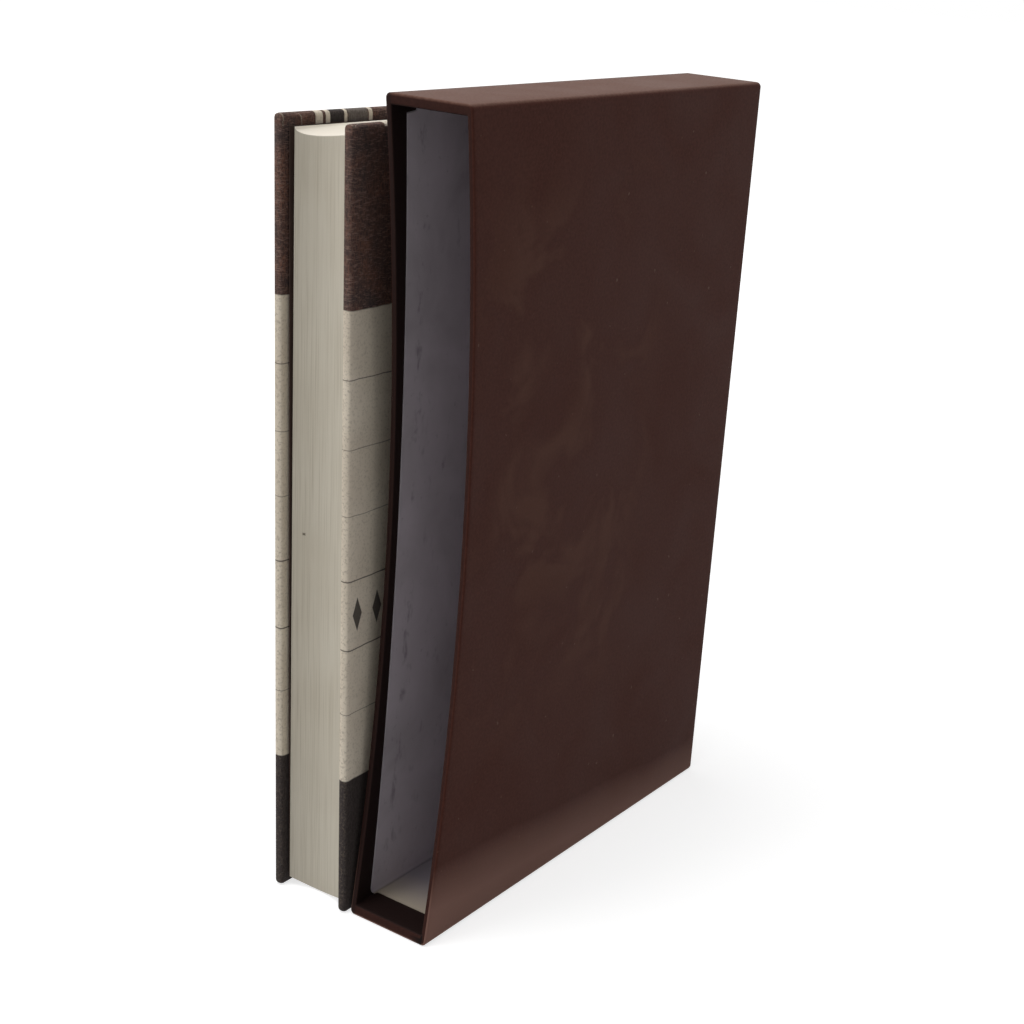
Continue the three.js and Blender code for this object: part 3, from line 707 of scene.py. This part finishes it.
def printed_covering():
    """The printed covering: a woven-looking brown field at the head, a cream field with fine rules
    and a row of lozenges, and a slate field at the foot. It is matt and faintly fibrous."""
    recipe = Recipe("printed_covering")
    along, height, across = recipe.mark("along"), recipe.mark("height"), recipe.mark("across")
    waver = recipe.math("SUBTRACT", recipe.noise(80, 3), 0.5)
    wavy = recipe.math("ADD", height, recipe.math("MULTIPLY", waver, PRINT_WAVER))

    weave_up = recipe.noise(1700, 3, 0.7, 0.0, recipe.stretched(1.3, 1.3, 0.5))
    weave_along = recipe.noise(1400, 3, 0.7, 0.0, recipe.stretched(0.35, 0.35, 1.8))
    blotch = recipe.noise(75, 4, 0.6, 0.4)
    tint = recipe.noise(45, 3, 0.6)
    fine = recipe.noise(1300, 2, 0.6)
    brown = recipe.shift(blotch, 0.36, 0.64, BROWN_COOL, BROWN_WARM)
    brown = recipe.shift(weave_up, 0.42, 0.58, brown, BROWN_DARK_THREAD, 0.75)
    brown = recipe.shift(weave_along, 0.52, 0.63, brown, BROWN_PALE_THREAD, 0.5)
    cream = recipe.shift(tint, 0.35, 0.7, CREAM_LIGHT, CREAM_DIM)
    cream = recipe.shift(fine, 0.5, 0.7, cream, CREAM_FLECK, 0.35)
    slate = recipe.shift(weave_up, 0.4, 0.6, SLATE_LIGHT, SLATE_DARK)
    slate = recipe.shift(weave_along, 0.62, 0.74, slate, SLATE_THREAD, 0.35)
    stone = recipe.shift(weave_up, 0.4, 0.6, STONE_LIGHT, STONE_DARK)

    ink = 0.0
    for middle, half_width, strength in RULES:
        near, far = half_width * 0.6 * MM, half_width * 1.4 * MM
        ink = recipe.math("MAXIMUM", ink, recipe.beside(wavy, middle * MM, near, far, strength))
    from_centre = recipe.offset(recipe.math("FRACT", recipe.math("DIVIDE", along, LOZENGE_PITCH)), 0.5)
    above_centre = recipe.math("DIVIDE", recipe.offset(height, LOZENGE_HEIGHT), LOZENGE_TALL)
    lozenge = recipe.math("ADD", recipe.math("MULTIPLY", from_centre, LOZENGE_SLENDER), above_centre)
    lozenge = recipe.level(lozenge, 0.92, 1.0, 0.9, 0)
    row_end = LOZENGES * LOZENGE_PITCH
    whole = recipe.math("MULTIPLY", recipe.level(along, row_end - 0.1 * MM, row_end, 1, 0),
                        recipe.level(across, OUTER_FACE_TO, OUTER_FACE_END, 1, 0))
    ink = recipe.math("MAXIMUM", ink, recipe.math("MULTIPLY", lozenge, whole))
    cream = recipe.mix(ink, cream, INK)

    colour = recipe.shift(wavy, BROWN_FROM - FIELD_BLUR, BROWN_FROM + FIELD_BLUR, cream, brown)
    colour = recipe.shift(wavy, SLATE_TO - FIELD_BLUR, SLATE_TO + FIELD_BLUR, slate, colour)

    turned_in = recipe.level(across, TURN_IN_FROM, TURN_IN_TO, 0, TURN_IN)
    head = recipe.math("ADD", height, turned_in)
    head = recipe.level(head, BOARD_HEIGHT - HEAD_BELOW, BOARD_HEIGHT - HEAD_ABOVE)
    field_colours = {"cream": cream, "slate": slate, "stone": stone}
    turned = brown
    for start, stop, which in HEAD_FIELDS:
        within = recipe.math("MULTIPLY", recipe.level(along, start * MM, start * MM + HEAD_BLUR),
                             recipe.level(along, stop * MM, stop * MM + HEAD_BLUR, 1, 0))
        turned = recipe.mix(within, turned, field_colours[which])
    colour = recipe.mix(head, colour, turned)

    slanted = recipe.math("SUBTRACT", along, recipe.math("MULTIPLY", across, MITRE_SLOPE))
    mitre = recipe.math("MAXIMUM", recipe.beside(slanted, MITRE_START, 0.12 * MM, 0.35 * MM, 0.8),
                        recipe.beside(along, MITRE_START, 0.1 * MM, 0.4 * MM, 0.5))
    mitre = recipe.math("MULTIPLY", mitre, recipe.level(fine, 0.4, 0.6, 0.2, 1))
    colour = recipe.mix(recipe.math("MULTIPLY", mitre, head), colour, MITRE_PALE)
    worn = recipe.math("MULTIPLY", recipe.mark("edge"), recipe.level(fine, 0.5, 0.7, 0, 0.3))
    colour = recipe.mix(worn, colour, EDGE_WORN)
    lined = recipe.shift(weave_up, 0.4, 0.6, INNER_LIGHT, INNER_DARK)
    colour = recipe.shift(recipe.mark("inner"), 0.5, 0.6, colour, lined)
    normal = recipe.bump(weave_up, 0.05 * MM, 0.5)
    normal = recipe.bump(fine, 0.03 * MM, 0.4, normal)
    return recipe.surface(colour, 0.78, normal, specular=0.25)


def mark_print(piece, closed_points, edge, inner):
    """Tells the covering's print where each point of the closed book lies: how far from the fore
    edge, how high, how far in from the outer side, how near a rubbed edge, and if it is inside."""
    mark_points(piece, "along", closed_points[:, 1])
    mark_points(piece, "height", closed_points[:, 2])
    mark_points(piece, "across", half_book - np.abs(closed_points[:, 0]))
    mark_points(piece, "edge", edge)
    mark_points(piece, "inner", inner)


covering = printed_covering()
board_size = np.array([BOARD_THICK, BOARD_LENGTH, BOARD_HEIGHT])
shares, quads = box_grid(BOARD_STEPS)
for side, sign in (("front", -1), ("back", 1)):
    low = np.array([-half_book if sign < 0 else half_inside, 0, 0])
    closed_points = board_points(low, board_size, shares)
    board = make_piece(side + "_board_covered", stand(closed_points), quads, 60)
    from_middle = np.abs(closed_points - (low + board_size / 2))
    to_edge = (board_size / 2 - from_middle)[:, 1:].min(1)
    worn = np.clip(1 - to_edge / EDGE_WORN_REACH, 0, 1)
    mark_print(board, closed_points, worn, np.zeros(len(shares)))
    board.data.materials.append(covering)
    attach(board, "front_cover" if sign < 0 else "slipcase")
    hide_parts(side + "_board")

# Case spine and joints: the same covering, over a stiff strip where it rounds the back of the
# block, and over bare cloth where it dips into a groove beside each board. The joints bend when
# a cover opens; here they are set in place and ride on no body.
SPINE_THICK = 1.0 * MM
SPINE_RISE = 4.2 * MM
JOINT_THICK = 0.8 * MM
HINGE_INSET = 1.7 * MM
BOARD_LIP_INSET = 1.0 * MM
GROOVE_DEPTH = 2.9 * MM
SEAM = 0.3 * MM
TANGENT_STEP = 0.01
SPINE_END_WORN = 0.004
SPINE_STEPS = (48, 2, 60)
JOINT_STEPS = (24, 2, 60)
hinge_x = half_book - HINGE_INSET


def strip_points(line, thickness, shares):
    """A curved strip: line gives the plan of its middle for shares 0 to 1, and each point stands
    off it at right angles, by half the thickness on either side, at its height."""
    middle = line(shares[:, 0])
    tangent = line(shares[:, 0] + TANGENT_STEP) - line(shares[:, 0] - TANGENT_STEP)
    tangent /= np.linalg.norm(tangent, axis=1, keepdims=True)
    off = (shares[:, 1:2] - 0.5) * thickness
    plan = middle + off * np.column_stack([-tangent[:, 1], tangent[:, 0]])
    return np.column_stack([plan, shares[:, 2] * BOARD_HEIGHT])


def spine_line(share):
    """From hinge to hinge over the back, as a parabola."""
    x = (share - 0.5) * 2 * hinge_x
    return np.column_stack([x, hinge_y + SEAM + SPINE_RISE * (1 - (x / hinge_x) ** 2)])


def joint_line(sign):
    """From the board's back edge into the groove and out to the hinge, as a quadratic curve whose
    middle control point lies so deep that the curve reaches the groove's depth halfway."""
    lip = np.array([half_book - BOARD_LIP_INSET, BOARD_LENGTH + SEAM + JOINT_THICK / 2])
    end = np.array([hinge_x, hinge_y - SEAM / 3])
    dip = np.array([2 * (half_book - GROOVE_DEPTH) - (lip[0] + hinge_x) / 2, (lip[1] + hinge_y) / 2])

    def line(share):
        gone = (share if sign < 0 else 1 - share)[:, None]
        plan = lip * (1 - gone) ** 2 + 2 * dip * gone * (1 - gone) + end * gone ** 2
        return plan * np.array([sign, 1])

    return line


shares, quads = box_grid(SPINE_STEPS)
closed_points = strip_points(spine_line, SPINE_THICK, shares)
spine = make_piece("spine_covered", stand(closed_points), quads, 50)
at_ends = np.minimum(shares[:, 2], 1 - shares[:, 2]) < SPINE_END_WORN
mark_print(spine, closed_points, at_ends, shares[:, 1] == 0)
spine.data.materials.append(covering)
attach(spine, "text_block")
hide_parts("spine_cover")

shares, quads = box_grid(JOINT_STEPS)
for side, sign in (("front", -1), ("back", 1)):
    closed_points = strip_points(joint_line(sign), JOINT_THICK, shares)
    joint = make_piece(side + "_joint_cloth", stand(closed_points), quads, 50)
    mark_print(joint, closed_points, np.zeros(len(shares)), shares[:, 1] == 0)
    joint.data.materials.append(covering)
    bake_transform(joint)
    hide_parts(side + "_joint")

# Text block: some hundreds of leaves, folded and sewn in sections, trimmed on three sides. The
# fore edge is hollow and the back is round, and the leaves sag a little at the fore edge.
FOOT_SQUARE = 2.6 * MM
HEAD_SQUARE = 3.4 * MM
FORE_SQUARE = 2.6 * MM
FORE_HOLLOW = 2.6 * MM
SHOULDER_GAP = 1.3 * MM
BACK_ROUND = 3.8 * MM
BLOCK_SAG = 1.9 * MM
SAG_REACH = 60 * MM
BLOCK_STEPS = (72, 40, 40)
BLOCK_GIVE = 1.3 * MM
FOOT_SAG_SHARE = 1.2
SPECK_LEAF = -5.4 * MM
SPECK_HEIGHT = 117 * MM

# Colours of the pages as they are seen, the share of the height by which the lines on their edges
# waver, and the shares of the height over which the head's painted highlight ends.
PAGE_LIGHT, PAGE_WARM = (199, 192, 177), (190, 182, 166)
PAGE_SECTION, PAGE_LINE = (170, 161, 143), (158, 148, 130)
PAGE_HEAD_LIT = (232, 224, 210)
PAGE_SPECK = (60, 48, 40)
LINE_WAVER = 0.008
LIT_HEAD_ENDS = (0.0004, 0.001)


def block_points(shares):
    """Across the block, front and back lie on parabolas: hollow in front, round behind. Every leaf
    drops by the sag, which dies out inwards: at the head it is greatest a quarter of the way
    across, at the foot halfway. The leaves by the front cover give way a little at the head,
    which leaves a gap beside it."""
    across, deep, high = shares.T
    x = (across - 0.5) * BLOCK_THICK
    rise = 1 - (x / half_block) ** 2
    front = FORE_SQUARE + FORE_HOLLOW * rise
    back = hinge_y - SHOULDER_GAP + BACK_ROUND * rise
    y = front + (back - front) * deep
    fade = np.clip(1 - (y - front) / SAG_REACH, 0, 1) ** 2
    head_sag = np.sin(np.pi * np.sqrt(across))
    foot_sag = FOOT_SAG_SHARE * rise
    sag = BLOCK_SAG * fade * (high * head_sag + (1 - high) * foot_sag)
    z = FOOT_SQUARE - sag + (BOARD_HEIGHT - HEAD_SQUARE - FOOT_SQUARE) * high
    x = x + BLOCK_GIVE * (1 - across) * high * (1 - deep)
    return np.column_stack([x, y, z])


def page_edges():
    """Cut edges of cream paper: hundreds of fine lines that follow the leaves, wider ones between
    sections, a head painted paler as if lit from above, a slight tint in clouds, and one small dark speck."""
    recipe = Recipe("page_edges")
    leaf = recipe.mark("leaf")
    _, _, height = recipe.place_parts()
    drawn_out = recipe.nodes.new("ShaderNodeCombineXYZ")
    recipe.put(drawn_out.inputs[0], leaf)
    recipe.put(drawn_out.inputs[1], recipe.math("MULTIPLY", height, LINE_WAVER))
    fine = recipe.noise(3200, 2, 0.6, 0.0, drawn_out.outputs[0])
    wide = recipe.noise(900, 3, 0.6, 0.0, drawn_out.outputs[0])
    cloud = recipe.noise(24, 3, 0.5)
    colour = recipe.shift(cloud, 0.35, 0.7, PAGE_LIGHT, PAGE_WARM)
    colour = recipe.shift(wide, 0.5, 0.72, colour, PAGE_SECTION, 0.25)
    colour = recipe.shift(fine, 0.5, 0.72, colour, PAGE_LINE, 0.5)
    # Painted highlight: the head is paler, as if lit from above.
    lit_head = recipe.level(recipe.mark("below_head"), *LIT_HEAD_ENDS, 1, 0)
    colour = recipe.mix(lit_head, colour, PAGE_HEAD_LIT)
    from_speck = recipe.math("MAXIMUM", recipe.offset(leaf, SPECK_LEAF), recipe.offset(height, SPECK_HEIGHT))
    colour = recipe.mix(recipe.level(from_speck, 0.2 * MM, 0.5 * MM, 0.8, 0), colour, PAGE_SPECK)
    normal = recipe.bump(fine, 0.05 * MM, 0.6)
    normal = recipe.bump(wide, 0.1 * MM, 0.4, normal)
    return recipe.surface(colour, 0.9, normal, specular=0.15)


shares, quads = box_grid(BLOCK_STEPS)
block = make_piece("pages", stand(block_points(shares)), quads, 40)
mark_points(block, "leaf", (shares[:, 0] - 0.5) * BLOCK_THICK)
mark_points(block, "below_head", 1 - shares[:, 2])
block.data.materials.append(page_edges())
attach(block, "text_block")
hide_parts("page_block")

# Endpapers: one leaf pasted to each board and one free leaf beside the pages, of a plain dark
# brown paper. They are packed as thin sheets, and only take their finish here.
ENDPAPER_LIGHT, ENDPAPER_DARK, ENDPAPER_LAID = (74, 57, 51), (64, 49, 44), (54, 41, 37)


def endpaper():
    """Soft laid paper: faint upright lines and a slight mottle."""
    recipe = Recipe("endpaper")
    mottle = recipe.noise(70, 4, 0.6)
    laid = recipe.noise(300, 2, 0.5, 0.0, recipe.stretched(4, 4, 0.15))
    colour = recipe.shift(mottle, 0.3, 0.7, ENDPAPER_LIGHT, ENDPAPER_DARK)
    colour = recipe.shift(laid, 0.5, 0.7, colour, ENDPAPER_LAID, 0.2)
    return recipe.surface(colour, 0.85, recipe.bump(laid, 0.03 * MM, 0.4), specular=0.2)


def dress(node_name, material):
    """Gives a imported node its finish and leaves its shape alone."""
    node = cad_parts[node_name]
    node.data.materials.clear()
    node.data.materials.append(material)


end_sheet = endpaper()
for name in ("front_pastedown", "back_pastedown", "front_flyleaf", "back_flyleaf"):
    dress(name, end_sheet)

# Spine lining and bands: open cotton cloth glued over the sewn back, and a striped silk cord at
# each end of it, seen only from above and below.
CLOTH_HOLLOW, CLOTH_THREAD = (150, 142, 122), (212, 205, 186)
BAND_BROWN, BAND_CREAM = (110, 72, 52), (206, 196, 172)
BAND_STRIPE_PITCH = 1.6 * MM


def back_cloth():
    """Open plain weave, made of two sets of fine ridges."""
    recipe = Recipe("back_cloth")
    upright = recipe.noise(1500, 1, 0.4, 0.0, recipe.stretched(2, 2, 0.4))
    level = recipe.noise(1500, 1, 0.4, 0.0, recipe.stretched(0.4, 0.4, 2))
    weave = recipe.math("MAXIMUM", upright, level)
    colour = recipe.shift(weave, 0.45, 0.65, CLOTH_HOLLOW, CLOTH_THREAD)
    return recipe.surface(colour, 0.95, recipe.bump(weave, 0.1 * MM, 0.6), specular=0.1)


def band_silk():
    """Stripes of brown and cream thread, wound round the cord."""
    recipe = Recipe("band_silk")
    across, _, _ = recipe.place_parts()
    turn = recipe.math("FRACT", recipe.math("DIVIDE", across, BAND_STRIPE_PITCH))
    colour = recipe.shift(recipe.offset(turn, 0.5), 0.2, 0.28, BAND_BROWN, BAND_CREAM)
    thread = recipe.noise(2400, 2, 0.5)
    return recipe.surface(colour, 0.5, recipe.bump(thread, 0.1 * MM, 0.5), specular=0.4, sheen=0.3)


dress("spine_lining", back_cloth())
silk = band_silk()
for name in ("head_band", "tail_band"):
    dress(name, silk)
